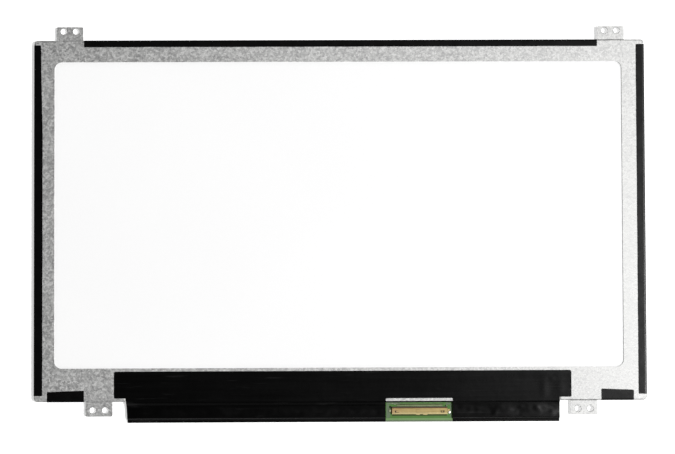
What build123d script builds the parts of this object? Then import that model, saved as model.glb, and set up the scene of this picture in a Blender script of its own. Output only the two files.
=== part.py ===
"""Screen panel of a small laptop, built layer by layer from the front polariser to the steel back frame.

Seen from behind with the driver board at the bottom: X to the right, Y up, Z out of the back.
The origin is the centre of the picture area on the front face, and all sizes are in millimetres.
"""

import os

from build123d import *

os.makedirs("parts", exist_ok=True)

# Picture area and the borders around it
active_width = 256.125
active_height = 144.0
side_margin = 5.9375
top_margin = 5.6
bottom_margin = 8.8

# Layers from the front face towards the back
polariser_thickness = 0.2
cell_glass_thickness = 0.5
rim_tape_thickness = 0.06
upper_diffuser_thickness = 0.10
prism_thickness = 0.15
lower_diffuser_thickness = 0.12
light_guide_thickness = 0.8
reflector_thickness = 0.2
steel_thickness = 0.4

# Steel back frame: a folded tray with a large window
frame_corner_radius = 1.6
fold_radius = 0.6
steel_wall_depth = 2.2
left_border = 8.95
right_border = 10.05
top_border = 9.6
bottom_border = 14.6
window_corner_radius = 3.3

# The folded bottom wall stops at a relief notch on each side of the driver board
wall_left_inset = 39.55
wall_right_inset = 37.7
relief_width = 1.2
relief_depth = 1.8

# Screw tabs, bent out of the tray's walls
tab_width = 11.8
tab_drop = 1.2
tab_slit = 0.4
tab_corner_radius = 0.7
top_tab_reach = 6.05
bottom_tab_reach = 6.4
top_left_tab_inset = 15.5
top_right_tab_inset = 14.5
bottom_left_tab_inset = 28.35
bottom_right_tab_inset = 27.4
tab_hole_diameter = 2.8
tab_hole_spacing = 5.4
top_hole_height = 4.1
bottom_hole_height = 3.7

# Snap hooks of the moulded frame, in windows of the steel walls under the tapes
snap_width = 5.0
snap_reach = 0.3
snap_rise = 0.35
snap_height = 0.7
snap_clearance = 0.15
side_snap_spacing = 50.0
top_snap_spacing = 52.0

# Moulded frame between the steel and the glass
moulding_clearance = 0.1
moulding_lip = 1.9
moulding_lip_gap = 0.05
lip_edge_radius = 0.5
side_ledge = 2.1
top_ledge = 1.1

# Glass cell
glass_clearance = 0.1
colour_glass_below_picture = 2.0
tft_glass_below_picture = 5.2
polariser_overlap = 1.4

# Black tape that bonds the cell to the moulded frame
rim_tape_reveal = 0.7
rim_tape_edge_gap = 0.6

# Back light
sheet_clearance = 0.4
light_guide_below_picture = 2.6
sheet_ear_width = 9.0
sheet_ear_reach = 1.0
sheet_ear_clearance = 0.3
top_ear_spacing = 170.0
side_ear_height = 40.0
lug_width = 4.0
lug_reach = 1.2
lug_above_picture_bottom = 10.0
flex_thickness = 0.2
led_length = 3.0
led_depth = 1.0
led_height = 0.7
led_pitch = 7.0
led_gap = 0.1
led_window_depth = 0.15
led_window_rim = 0.15
led_pocket_gap = 0.3
flex_strip_width = 1.15
flex_tail_width = 7.0
flex_tail_clearance = 0.3

# Driver board
board_thickness = 0.6
board_height = 8.8
board_gap = 0.45
board_left_inset = 41.4
board_right_inset = 38.7
board_corner = 0.5

# Driver films between the glass and the board
driver_film_thickness = 0.05
driver_film_width = 34.0
driver_film_pitch = 62.0
driver_film_bond = 1.5
driver_chip_length = 20.0
driver_chip_depth = 1.4
driver_chip_height = 0.3
driver_chip_edge = 0.08

# Display-cable socket
socket_length = 24.4
socket_depth = 3.0
socket_height = 1.1
socket_inset = 60.8
socket_setback = 2.45
shell_thickness = 0.15
shell_bend = 0.2
shell_foot = 1.1
shell_foot_depth = 1.4
shell_latch_length = 1.6
shell_latch_depth = 0.9
shell_latch_inset = 2.2
shell_latch_setback = 0.7
housing_clearance = 0.05
housing_step = 0.25
housing_wall = 0.7
tongue_height = 0.33
tongue_setback = 0.2
contact_count = 40
contact_pitch = 0.5
contact_width = 0.22
contact_thickness = 0.12
contact_bend = 0.16
contact_tail = 0.7
contact_tip_setback = 0.25
contact_slot_clearance = 0.03

# Chips and other components along the middle of the board, placed on a plan of this length
board_plan_length = 187.9
component_row = 3.85
chip_edge = 0.1
timing_chip_size = 5.5
timing_chip_height = 0.85
timing_chip_inset = 97.0
memory_chip_length = 3.0
memory_chip_width = 2.0
memory_chip_height = 0.6
memory_chip_inset = 83.0
gamma_chip_size = 4.0
gamma_chip_height = 0.8
gamma_chip_inset = 119.0
power_chip_size = 5.0
power_chip_height = 0.8
power_chip_inset = 141.0
led_driver_size = 4.0
led_driver_height = 0.8
led_driver_inset = 33.0
panel_inductor_size = 4.0
panel_inductor_inset = 148.0
led_inductor_size = 4.6
led_inductor_inset = 24.0
inductor_corner = 0.6
fuse_length = 3.2
fuse_width = 1.6
fuse_height = 0.6
fuse_inset = 42.0
capacitor_length = 1.6
capacitor_width = 0.8
capacitor_height = 0.8
capacitor_corner = 0.08
capacitor_pitch = 2.6
capacitor_row_spacing = 3.0
capacitor_column_count = 3
led_capacitor_column_count = 1
resistor_length = 1.0
resistor_width = 0.5
resistor_height = 0.35
resistor_pitch = 1.4
resistor_row_spacing = 2.4
timing_resistor_column_count = 3
led_resistor_column_count = 2
panel_resistor_column_count = 5

# Socket for the tail of the LED strip
led_socket_length = 10.0
led_socket_depth = 3.0
led_socket_height = 0.9
led_socket_inset = 10.6
led_socket_setback = 1.25
led_slot_height = 0.35
led_slot_depth = 1.8
led_slot_clearance = 0.04
latch_thickness = 0.25
latch_depth = 1.3

# Cover film over the board
film_thickness = 0.1
film_overlap = 13.1
film_left_inset = 35.0
film_right_inset = 33.1
film_shoulder = 2.0
film_corner_radius = 0.8
film_standoff = 1.2
film_step_start = 0.3
film_step_run = 1.1
film_hem_start = 2.1
film_hem_width = 1.05
film_crease_radius = 0.4
film_left_overhang = 0.3
film_left_slant = 0.7
film_right_overhang = 0.2
notch_left_gap = 2.5
notch_right_gap = 1.7
notch_rise = 1.34

# Black tapes folded round the edges
tape_thickness = 0.06
tape_corner_gap = 0.15
tape_front_width = 2.5
side_tape_width = 3.7
side_tape_top_gap = 2.1
side_tape_bottom_gap = 2.7
side_tape_narrowing = 0.8
side_tape_narrowing_length = 40.0
top_tape_width = 2.9
top_tape_left_inset = 21.9
top_tape_right_inset = 20.7
corner_tape_width = 5.05
corner_tape_inset = 5.8
corner_tape_narrowing = 0.55
left_corner_tape_length = 16.2
right_corner_tape_length = 14.2

# Outline of the steel frame
left_edge = -active_width / 2 - side_margin
right_edge = active_width / 2 + side_margin
top_edge = active_height / 2 + top_margin
bottom_edge = -active_height / 2 - bottom_margin
outline_width = right_edge - left_edge
outline_height = top_edge - bottom_edge
outline_middle = (top_edge + bottom_edge) / 2

# Front of each layer
colour_glass_front = polariser_thickness
tft_glass_front = colour_glass_front + cell_glass_thickness
rear_polariser_front = tft_glass_front + cell_glass_thickness
rim_tape_front = rear_polariser_front + polariser_thickness
ledge_front = rim_tape_front + rim_tape_thickness
upper_prism_front = ledge_front + upper_diffuser_thickness
lower_prism_front = upper_prism_front + prism_thickness
lower_diffuser_front = lower_prism_front + prism_thickness
light_guide_front = lower_diffuser_front + lower_diffuser_thickness
reflector_front = light_guide_front + light_guide_thickness
back_plate_front = reflector_front + reflector_thickness
back_face = back_plate_front + steel_thickness
steel_wall_end = back_face - steel_wall_depth
lip_front = colour_glass_front
flex_front = back_plate_front - flex_thickness

# Edges of the glass cell and of the back light's opening in the moulded frame
glass_right = right_edge - moulding_lip - glass_clearance
glass_top = top_edge - moulding_lip - glass_clearance
colour_glass_bottom = -active_height / 2 - colour_glass_below_picture
tft_glass_bottom = -active_height / 2 - tft_glass_below_picture
opening_right = right_edge - moulding_lip - side_ledge
opening_top = top_edge - moulding_lip - top_ledge
light_guide_bottom = -active_height / 2 - light_guide_below_picture
led_bottom = light_guide_bottom - led_gap - led_depth
opening_bottom = led_bottom - led_pocket_gap
sheet_right = opening_right - sheet_clearance
sheet_top = opening_top - sheet_clearance
lug_height = -active_height / 2 + lug_above_picture_bottom

# Driver board, its socket and the places on it
board_left = left_edge + board_left_inset
board_right = right_edge - board_right_inset
board_top = bottom_edge - board_gap
board_bottom = board_top - board_height
board_front = tft_glass_front
board_back = board_front + board_thickness
board_middle = (board_left + board_right) / 2
board_stretch = (board_right - board_left) / board_plan_length
row_y = board_top - component_row
socket_middle = board_right - socket_inset * board_stretch
socket_left = socket_middle - socket_length / 2
socket_right = socket_middle + socket_length / 2
socket_back = board_top - socket_setback
socket_mouth = socket_back - socket_depth
tongue_top = board_back + tongue_height
shell_under = board_back + socket_height - shell_thickness
film_seat = board_back + film_standoff
led_socket_middle = board_right - led_socket_inset * board_stretch
led_socket_back = board_top - led_socket_setback
led_slot_floor = board_back + led_slot_height


def save(piece, name):
    """Label a finished piece and write it."""
    piece.part.label = name
    export_step(piece.part, f"parts/{name}.step")


def rectangle_between(left, right, bottom, top, mode=Mode.ADD):
    """Draw a rectangle given by its four edges."""
    with Locations(((left + right) / 2, (bottom + top) / 2)):
        Rectangle(right - left, top - bottom, mode=mode)


def bent_strip(points, radius, thickness, side):
    """Draw the section of a bent sheet: a line along one skin, thickened to one side."""
    with BuildLine() as section:
        FilletPolyline(*points, radius=radius)
        offset(amount=thickness, side=side)
    make_face(section.line)


def flat_sheet(name, front, thickness, left, right, bottom, top):
    """Make a plain rectangular layer."""
    with BuildPart() as sheet:
        with BuildSketch(Plane.XY.offset(front)):
            rectangle_between(left, right, bottom, top)
        extrude(amount=thickness)
    save(sheet, name)


# Steel back frame: a drawn tray, then the window, the gap in its bottom wall and the screw tabs
window_left = left_edge + left_border
window_right = right_edge - right_border
window_bottom = bottom_edge + bottom_border
window_top = top_edge - top_border
wall_left_end = left_edge + wall_left_inset
wall_right_end = right_edge - wall_right_inset
lip_left = wall_left_end + relief_width
lip_right = wall_right_end - relief_width
tabs = [
    (left_edge + top_left_tab_inset, top_edge, 1, top_tab_reach, top_hole_height),
    (right_edge - top_right_tab_inset, top_edge, 1, top_tab_reach, top_hole_height),
    (left_edge + bottom_left_tab_inset, bottom_edge, -1, bottom_tab_reach, bottom_hole_height),
    (right_edge - bottom_right_tab_inset, bottom_edge, -1, bottom_tab_reach, bottom_hole_height),
]
tab_back = back_face - tab_drop
inner_fold_radius = fold_radius - steel_thickness
snap_front = steel_wall_end + snap_rise
snaps = [(left_edge, outline_middle + step * side_snap_spacing, -1, 0) for step in (-1, 0, 1)]
snaps += [(right_edge, outline_middle + step * side_snap_spacing, 1, 0) for step in (-1, 0, 1)]
snaps += [((step - 1.5) * top_snap_spacing, top_edge, 0, 1) for step in range(4)]
snap_planes = [
    Plane((snap_x, snap_y, snap_front), x_dir=(out_x, out_y, 0), z_dir=(out_y, -out_x, 0))
    for snap_x, snap_y, out_x, out_y in snaps
]

with BuildPart() as back_frame:
    with BuildSketch(Plane.XY.offset(steel_wall_end)):
        with Locations((0, outline_middle)):
            RectangleRounded(outline_width, outline_height, frame_corner_radius)
    extrude(amount=steel_wall_depth)
    fillet(back_frame.faces().sort_by(Axis.Z)[-1].edges(), fold_radius)
    offset(amount=-steel_thickness, openings=back_frame.faces().sort_by(Axis.Z)[0])
    with BuildSketch(Plane.XY.offset(back_plate_front)):
        with Locations(((window_left + window_right) / 2, (window_bottom + window_top) / 2)):
            RectangleRounded(window_right - window_left, window_top - window_bottom, window_corner_radius)
    extrude(amount=steel_thickness, mode=Mode.SUBTRACT)
    with BuildSketch(Plane.XY.offset(steel_wall_end)):
        rectangle_between(wall_left_end, wall_right_end, bottom_edge, bottom_edge + relief_depth)
    extrude(amount=steel_wall_depth, mode=Mode.SUBTRACT)
    with BuildSketch(Plane.XY.offset(back_plate_front)):
        rectangle_between(lip_left, lip_right, bottom_edge, bottom_edge + relief_depth)
    extrude(amount=steel_thickness)
    with BuildSketch(*snap_planes):
        with Locations((-steel_thickness / 2, snap_height / 2)):
            Rectangle(2 * steel_thickness, snap_height + 2 * snap_clearance)
    extrude(amount=snap_width / 2 + snap_clearance, both=True, mode=Mode.SUBTRACT)
    for tab_x, edge, outward, reach, hole_height in tabs:
        with BuildSketch(Plane.XY.offset(steel_wall_end)):
            with Locations((tab_x, edge)):
                Rectangle(tab_width + 2 * tab_slit, 2 * steel_thickness)
        extrude(amount=tab_back - steel_wall_end + inner_fold_radius, mode=Mode.SUBTRACT)
        tab_section = Plane((tab_x, edge, back_face), x_dir=(0, outward, 0), z_dir=(outward, 0, 0))
        with BuildSketch(tab_section):
            with BuildLine():
                FilletPolyline(
                    (-steel_thickness, -fold_radius),
                    (-steel_thickness, -tab_drop - steel_thickness),
                    (reach, -tab_drop - steel_thickness),
                    (reach, -tab_drop),
                    (0, -tab_drop),
                    (0, -fold_radius),
                    radius=[0, fold_radius, 0, 0, inner_fold_radius, 0],
                    close=True,
                )
            make_face()
        extrude(amount=tab_width / 2, both=True)
        tip = (tab_x, edge + outward * reach, tab_back)
        fillet(back_frame.edges().filter_by(Axis.Z).sort_by_distance(tip)[:2], tab_corner_radius)
        with Locations((tab_x, edge + outward * hole_height, tab_back)):
            with GridLocations(tab_hole_spacing, 1, 2, 1):
                Hole(tab_hole_diameter / 2, depth=steel_thickness)
save(back_frame, "back_frame")

# Moulded frame: a rim that holds the glass, a ledge behind it and an opening for the back light
side_ears = [(-sheet_right, side_ear_height), (sheet_right, side_ear_height)]
top_ears = [(-top_ear_spacing / 2, sheet_top), (top_ear_spacing / 2, sheet_top)]
lugs = [(-sheet_right, lug_height), (sheet_right, lug_height)]
body_inset = steel_thickness + moulding_clearance
body_width = outline_width - 2 * body_inset
body_height = outline_height - 2 * body_inset
pocket_right = glass_right + glass_clearance
pocket_top = glass_top + glass_clearance
pocket_bottom = tft_glass_bottom - glass_clearance
ear_pocket_width = sheet_ear_width + 2 * sheet_ear_clearance
ear_pocket_reach = sheet_ear_reach + sheet_ear_clearance

with BuildPart() as moulded_frame:
    with BuildSketch(Plane.XY.offset(lip_front)):
        with Locations((0, outline_middle)):
            RectangleRounded(outline_width, outline_height, frame_corner_radius)
    extrude(amount=steel_wall_end - moulding_lip_gap - lip_front)
    fillet(moulded_frame.faces().sort_by(Axis.Z)[0].edges(), lip_edge_radius)
    with BuildSketch(Plane.XY.offset(steel_wall_end - moulding_lip_gap)):
        with Locations((0, outline_middle)):
            RectangleRounded(body_width, body_height, frame_corner_radius - body_inset)
    extrude(amount=back_plate_front - steel_wall_end + moulding_lip_gap)
    chamfer(moulded_frame.faces().sort_by(Axis.Z)[-1].edges(), inner_fold_radius)
    with BuildSketch(Plane.XY.offset(lip_front)):
        rectangle_between(-pocket_right, pocket_right, pocket_bottom, pocket_top)
        rectangle_between(wall_left_end, wall_right_end, bottom_edge, pocket_bottom)
    extrude(amount=ledge_front - lip_front, mode=Mode.SUBTRACT)
    with BuildSketch(Plane.XY.offset(ledge_front)):
        rectangle_between(-opening_right, opening_right, opening_bottom, opening_top)
        with Locations(*top_ears):
            Rectangle(ear_pocket_width, 2 * ear_pocket_reach)
        with Locations(*side_ears):
            Rectangle(2 * ear_pocket_reach, ear_pocket_width)
        with Locations(*lugs):
            Rectangle(2 * (lug_reach + sheet_ear_clearance), lug_width + 2 * sheet_ear_clearance)
    extrude(amount=back_plate_front - ledge_front, mode=Mode.SUBTRACT)
    with BuildSketch(Plane.XY.offset(flex_front - flex_tail_clearance)):
        with Locations((led_socket_middle, bottom_edge)):
            Rectangle(flex_tail_width + 2 * flex_tail_clearance, 2 * (opening_bottom - bottom_edge))
    extrude(amount=flex_thickness + flex_tail_clearance, mode=Mode.SUBTRACT)
    with BuildSketch(*snap_planes):
        with BuildLine():
            Polyline((-body_inset, 0), (snap_reach - body_inset, 0), (-body_inset, snap_height), close=True)
        make_face()
    extrude(amount=snap_width / 2, both=True)
save(moulded_frame, "moulded_frame")

# Back light: reflector, light guide and the four sheets in front of it
flat_sheet(
    "reflector_sheet",
    reflector_front,
    reflector_thickness,
    -sheet_right,
    sheet_right,
    light_guide_bottom,
    sheet_top,
)

with BuildPart() as light_guide_plate:
    with BuildSketch(Plane.XY.offset(light_guide_front)):
        rectangle_between(-sheet_right, sheet_right, light_guide_bottom, sheet_top)
        with Locations(*lugs):
            Rectangle(2 * lug_reach, lug_width)
    extrude(amount=light_guide_thickness)
save(light_guide_plate, "light_guide_plate")

optical_sheets = [
    ("lower_diffuser_sheet", lower_diffuser_front, lower_diffuser_thickness),
    ("lower_prism_sheet", lower_prism_front, prism_thickness),
    ("upper_prism_sheet", upper_prism_front, prism_thickness),
    ("upper_diffuser_sheet", ledge_front, upper_diffuser_thickness),
]
for sheet_name, sheet_front, sheet_thickness in optical_sheets:
    with BuildPart() as optical_sheet:
        with BuildSketch(Plane.XY.offset(sheet_front)):
            rectangle_between(-sheet_right, sheet_right, light_guide_bottom, sheet_top)
            with Locations(*top_ears):
                Rectangle(sheet_ear_width, 2 * sheet_ear_reach)
            with Locations(*side_ears):
                Rectangle(2 * sheet_ear_reach, sheet_ear_width)
        extrude(amount=sheet_thickness)
    save(optical_sheet, sheet_name)

# LED strip: packages that shine into the light guide's bottom edge, on a flexible strip with a bent tail
led_middle = led_bottom + led_depth / 2
led_count = int((2 * sheet_right - led_length) / led_pitch) + 1
tail_start = led_middle
tail_drop_start = bottom_edge + flex_thickness
tail_end = led_socket_back - led_slot_depth + led_slot_clearance
tail_left = led_socket_middle - flex_tail_width / 2

with BuildPart() as led_packages:
    with BuildSketch(Plane.XY.offset(flex_front - led_height)):
        with Locations((0, led_middle)):
            with GridLocations(led_pitch, led_depth, led_count, 1):
                Rectangle(led_length, led_depth)
    extrude(amount=led_height)
    led_face = (0, led_bottom + led_depth, flex_front - led_height / 2)
    with BuildSketch(Plane(led_face, x_dir=(-1, 0, 0), z_dir=(0, 1, 0))):
        with GridLocations(led_pitch, led_height, led_count, 1):
            Rectangle(led_length - 2 * led_window_rim, led_height - 2 * led_window_rim)
    extrude(amount=-led_window_depth, mode=Mode.SUBTRACT)
save(led_packages, "led_packages")

with BuildPart() as led_flex_strip:
    with BuildSketch(Plane.XY.offset(flex_front)):
        rectangle_between(
            -sheet_right, sheet_right, led_bottom + led_depth - flex_strip_width, led_bottom + led_depth
        )
    extrude(amount=flex_thickness)
    with BuildSketch(Plane.YZ.offset(tail_left)):
        bent_strip(
            [
                (tail_start, flex_front),
                (tail_drop_start, flex_front),
                (led_socket_back + flex_thickness, led_slot_floor + led_slot_clearance),
                (tail_end, led_slot_floor + led_slot_clearance),
            ],
            film_crease_radius,
            flex_thickness,
            Side.RIGHT,
        )
    extrude(amount=flex_tail_width)
save(led_flex_strip, "led_flex_strip")

# Glass cell: two polarisers, two glasses and the black tape that bonds the cell to the ledge
polariser_right = active_width / 2 + polariser_overlap
polariser_top = active_height / 2 + polariser_overlap
flat_sheet(
    "front_polariser",
    0,
    polariser_thickness,
    -polariser_right,
    polariser_right,
    -polariser_top,
    polariser_top,
)
flat_sheet(
    "colour_filter_glass",
    colour_glass_front,
    cell_glass_thickness,
    -glass_right,
    glass_right,
    colour_glass_bottom,
    glass_top,
)
flat_sheet(
    "tft_glass",
    tft_glass_front,
    cell_glass_thickness,
    -glass_right,
    glass_right,
    tft_glass_bottom,
    glass_top,
)
flat_sheet(
    "rear_polariser",
    rear_polariser_front,
    polariser_thickness,
    -polariser_right,
    polariser_right,
    -polariser_top,
    polariser_top,
)

with BuildPart() as rim_tape:
    with BuildSketch(Plane.XY.offset(rim_tape_front)):
        rectangle_between(
            -glass_right + rim_tape_edge_gap,
            glass_right - rim_tape_edge_gap,
            tft_glass_bottom + rim_tape_edge_gap,
            glass_top - rim_tape_edge_gap,
        )
        Rectangle(active_width + 2 * rim_tape_reveal, active_height + 2 * rim_tape_reveal, mode=Mode.SUBTRACT)
    extrude(amount=rim_tape_thickness)
save(rim_tape, "rim_tape")

# Driver board: a narrow strip below the frame, level with the glass that feeds it
with BuildPart() as driver_board:
    with BuildSketch(Plane.XY.offset(board_front)):
        rectangle_between(board_left, board_right, board_bottom, board_top)
    extrude(amount=board_thickness)
    chamfer(driver_board.edges().filter_by(Axis.Z), board_corner)
save(driver_board, "driver_board")

# Driver films: bonded to the front of the glass's ledge and of the board, each with a long thin chip
driver_chip_middle = (tft_glass_bottom + board_top) / 2
for film_number, film_place in enumerate(("left", "middle", "right")):
    driver_film_x = board_middle + (film_number - 1) * driver_film_pitch * board_stretch
    flat_sheet(
        f"source_driver_film_{film_place}",
        tft_glass_front - driver_film_thickness,
        driver_film_thickness,
        driver_film_x - driver_film_width / 2,
        driver_film_x + driver_film_width / 2,
        board_top - driver_film_bond,
        tft_glass_bottom + driver_film_bond,
    )
    with BuildPart() as source_driver_chip:
        with BuildSketch(Plane.XY.offset(tft_glass_front)):
            with Locations((driver_film_x, driver_chip_middle)):
                Rectangle(driver_chip_length, driver_chip_depth)
        extrude(amount=driver_chip_height)
        chamfer(source_driver_chip.faces().sort_by(Axis.Z)[-1].edges(), driver_chip_edge)
    save(source_driver_chip, f"source_driver_chip_{film_place}")

# Display-cable socket: plastic housing with a tongue, contacts along it and a bent metal shell over it
housing_back = socket_back + housing_step
housing_left = socket_left + shell_thickness + housing_clearance
housing_right = socket_right - shell_thickness - housing_clearance
first_contact = socket_middle - (contact_count - 1) * contact_pitch / 2
contact_planes = [Plane.YZ.offset(first_contact + number * contact_pitch) for number in range(contact_count)]

with BuildPart() as connector_housing:
    with BuildSketch(Plane.XY.offset(board_back)):
        rectangle_between(housing_left, housing_right, socket_mouth + tongue_setback, housing_back)
    extrude(amount=tongue_height)
    with BuildSketch(Plane.XY.offset(tongue_top)):
        rectangle_between(housing_left, housing_right, housing_back - housing_wall, housing_back)
    extrude(amount=shell_under - tongue_top)
    with BuildSketch(Plane.XY.offset(tongue_top)):
        with Locations((socket_middle, housing_back)):
            with GridLocations(contact_pitch, housing_wall, contact_count, 1):
                Rectangle(contact_width + 2 * contact_slot_clearance, 2 * housing_wall)
    extrude(amount=contact_thickness + contact_slot_clearance, mode=Mode.SUBTRACT)
save(connector_housing, "connector_housing")

with BuildPart() as connector_contacts:
    with BuildSketch(*contact_planes):
        with BuildLine() as contact_section:
            Polyline(
                (housing_back + contact_thickness + contact_tail, board_back),
                (housing_back + contact_bend, board_back),
                (housing_back, board_back + contact_bend),
                (housing_back, tongue_top),
                (socket_mouth + contact_tip_setback, tongue_top),
            )
            offset(amount=contact_thickness, kind=Kind.INTERSECTION, side=Side.RIGHT)
        make_face(contact_section.line)
    extrude(amount=contact_width / 2, both=True)
save(connector_contacts, "connector_contacts")

with BuildPart() as connector_shell:
    with BuildSketch(Plane.XZ.offset(-socket_back)):
        bent_strip(
            [
                (socket_left - shell_foot, board_back),
                (socket_left + shell_thickness, board_back),
                (socket_left + shell_thickness, shell_under),
                (socket_right - shell_thickness, shell_under),
                (socket_right - shell_thickness, board_back),
                (socket_right + shell_foot, board_back),
            ],
            [shell_bend, 0, 0, shell_bend],
            shell_thickness,
            Side.LEFT,
        )
    extrude(amount=socket_depth)
    with BuildSketch(Plane.XY.offset(board_back)):
        for foot_x in (socket_left - shell_foot / 2, socket_right + shell_foot / 2):
            with Locations((foot_x, (socket_back + socket_mouth) / 2)):
                Rectangle(shell_foot, socket_depth)
                Rectangle(shell_foot, shell_foot_depth, mode=Mode.SUBTRACT)
    extrude(amount=shell_thickness + shell_bend, mode=Mode.SUBTRACT)
    with BuildSketch(Plane.XY.offset(shell_under)):
        with Locations((socket_middle, socket_mouth + shell_latch_setback + shell_latch_depth / 2)):
            with GridLocations(socket_length - 2 * shell_latch_inset, shell_latch_depth, 2, 1):
                Rectangle(shell_latch_length, shell_latch_depth)
    extrude(amount=shell_thickness, mode=Mode.SUBTRACT)
save(connector_shell, "connector_shell")

# Chips on the board, each a moulded block with a bevelled top
chips = [
    ("timing_controller_chip", timing_chip_inset, timing_chip_size, timing_chip_size, timing_chip_height),
    ("memory_chip", memory_chip_inset, memory_chip_length, memory_chip_width, memory_chip_height),
    ("gamma_chip", gamma_chip_inset, gamma_chip_size, gamma_chip_size, gamma_chip_height),
    ("power_chip", power_chip_inset, power_chip_size, power_chip_size, power_chip_height),
    ("led_driver_chip", led_driver_inset, led_driver_size, led_driver_size, led_driver_height),
    ("input_fuse", fuse_inset, fuse_length, fuse_width, fuse_height),
]
for chip_name, chip_inset, chip_length, chip_width, chip_height in chips:
    with BuildPart() as chip:
        with BuildSketch(Plane.XY.offset(board_back)):
            with Locations((board_right - chip_inset * board_stretch, row_y)):
                Rectangle(chip_length, chip_width)
        extrude(amount=chip_height)
        chamfer(chip.faces().sort_by(Axis.Z)[-1].edges(), chip_edge)
    save(chip, chip_name)

# Boost inductors: the tallest components, which carry the cover film
inductors = [
    ("panel_boost_inductor", panel_inductor_inset, panel_inductor_size),
    ("led_boost_inductor", led_inductor_inset, led_inductor_size),
]
for inductor_name, inductor_inset, inductor_size in inductors:
    with BuildPart() as inductor:
        with BuildSketch(Plane.XY.offset(board_back)):
            with Locations((board_right - inductor_inset * board_stretch, row_y)):
                RectangleRounded(inductor_size, inductor_size, inductor_corner)
        extrude(amount=film_standoff)
    save(inductor, inductor_name)

# Ceramic capacitors and chip resistors, in rows beside the chips that they serve
capacitor_groups = [
    ((timing_chip_inset + gamma_chip_inset) / 2, capacitor_column_count),
    ((gamma_chip_inset + power_chip_inset) / 2, capacitor_column_count),
    (panel_inductor_inset + panel_inductor_size + capacitor_pitch, capacitor_column_count),
    ((led_driver_inset + led_inductor_inset) / 2, led_capacitor_column_count),
]
resistor_groups = [
    ((timing_chip_inset + memory_chip_inset) / 2, timing_resistor_column_count),
    ((led_driver_inset + fuse_inset) / 2, led_resistor_column_count),
    (panel_inductor_inset + panel_inductor_size + 4 * capacitor_pitch, panel_resistor_column_count),
]

with BuildPart() as board_capacitors:
    with BuildSketch(Plane.XY.offset(board_back)):
        for group_inset, columns in capacitor_groups:
            with Locations((board_right - group_inset * board_stretch, row_y)):
                with GridLocations(capacitor_pitch, capacitor_row_spacing, columns, 2):
                    Rectangle(capacitor_width, capacitor_length)
    extrude(amount=capacitor_height)
    chamfer(board_capacitors.edges().filter_by(Axis.Z), capacitor_corner)
save(board_capacitors, "board_capacitors")

with BuildPart() as board_resistors:
    with BuildSketch(Plane.XY.offset(board_back)):
        for group_inset, columns in resistor_groups:
            with Locations((board_right - group_inset * board_stretch, row_y)):
                with GridLocations(resistor_pitch, resistor_row_spacing, columns, 2):
                    Rectangle(resistor_width, resistor_length)
    extrude(amount=resistor_height)
save(board_resistors, "board_resistors")

# Socket for the LED strip's tail, with its flat latch closed over the tail
led_socket_front = led_socket_back - led_socket_depth
latch_front = board_back + led_socket_height - latch_thickness

with BuildPart() as led_flex_socket:
    with BuildSketch(Plane.XY.offset(board_back)):
        rectangle_between(
            led_socket_middle - led_socket_length / 2,
            led_socket_middle + led_socket_length / 2,
            led_socket_front,
            led_socket_back,
        )
    extrude(amount=led_socket_height)
    with BuildSketch(Plane.XY.offset(led_slot_floor)):
        with Locations((led_socket_middle, led_socket_back)):
            Rectangle(flex_tail_width + 2 * flex_tail_clearance, 2 * led_slot_depth)
    extrude(amount=flex_thickness + 2 * led_slot_clearance, mode=Mode.SUBTRACT)
    with BuildSketch(Plane.XY.offset(latch_front)):
        with Locations((led_socket_middle, led_socket_back)):
            Rectangle(flex_tail_width + 2 * flex_tail_clearance, 2 * latch_depth)
    extrude(amount=latch_thickness, mode=Mode.SUBTRACT)
save(led_flex_socket, "led_flex_socket")

flat_sheet(
    "led_socket_latch",
    latch_front,
    latch_thickness,
    led_socket_middle - flex_tail_width / 2,
    led_socket_middle + flex_tail_width / 2,
    led_socket_back - latch_depth,
    led_socket_back,
)

# Cover film: stuck to the steel, stepped down onto the components and hemmed to the board's bottom edge
film_left = left_edge + film_left_inset
film_right = right_edge - film_right_inset
film_top = bottom_edge + film_overlap
shoulder_y = bottom_edge + film_shoulder
step_y = bottom_edge - film_step_start
hem_y = board_bottom + film_hem_start
film_height = back_face + film_thickness - board_back
notch_left = socket_left - notch_left_gap
notch_right = socket_right + notch_right_gap

with BuildPart() as board_cover_film:
    with BuildSketch(Plane.YZ.offset(film_left)):
        bent_strip(
            [
                (film_top, back_face),
                (step_y, back_face),
                (step_y - film_step_run, film_seat),
                (hem_y, film_seat),
                (board_bottom + film_hem_width, board_back),
                (board_bottom, board_back),
            ],
            film_crease_radius,
            film_thickness,
            Side.RIGHT,
        )
    extrude(amount=film_right - film_left)
    with BuildSketch(Plane.XY.offset(board_back)):
        with BuildLine():
            Polyline(
                (film_left, shoulder_y),
                (board_left - film_left_overhang - film_left_slant, shoulder_y),
                (board_left - film_left_overhang, board_bottom),
                (film_left, board_bottom),
                close=True,
            )
        make_face()
        rectangle_between(board_right + film_right_overhang, film_right, board_bottom, shoulder_y)
        rectangle_between(notch_left, notch_right, board_bottom, bottom_edge + notch_rise)
    extrude(amount=film_height, mode=Mode.SUBTRACT)
    fillet(board_cover_film.edges().filter_by(Axis.Z).group_by(Axis.Y)[-1], film_corner_radius)
save(board_cover_film, "board_cover_film")


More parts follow.
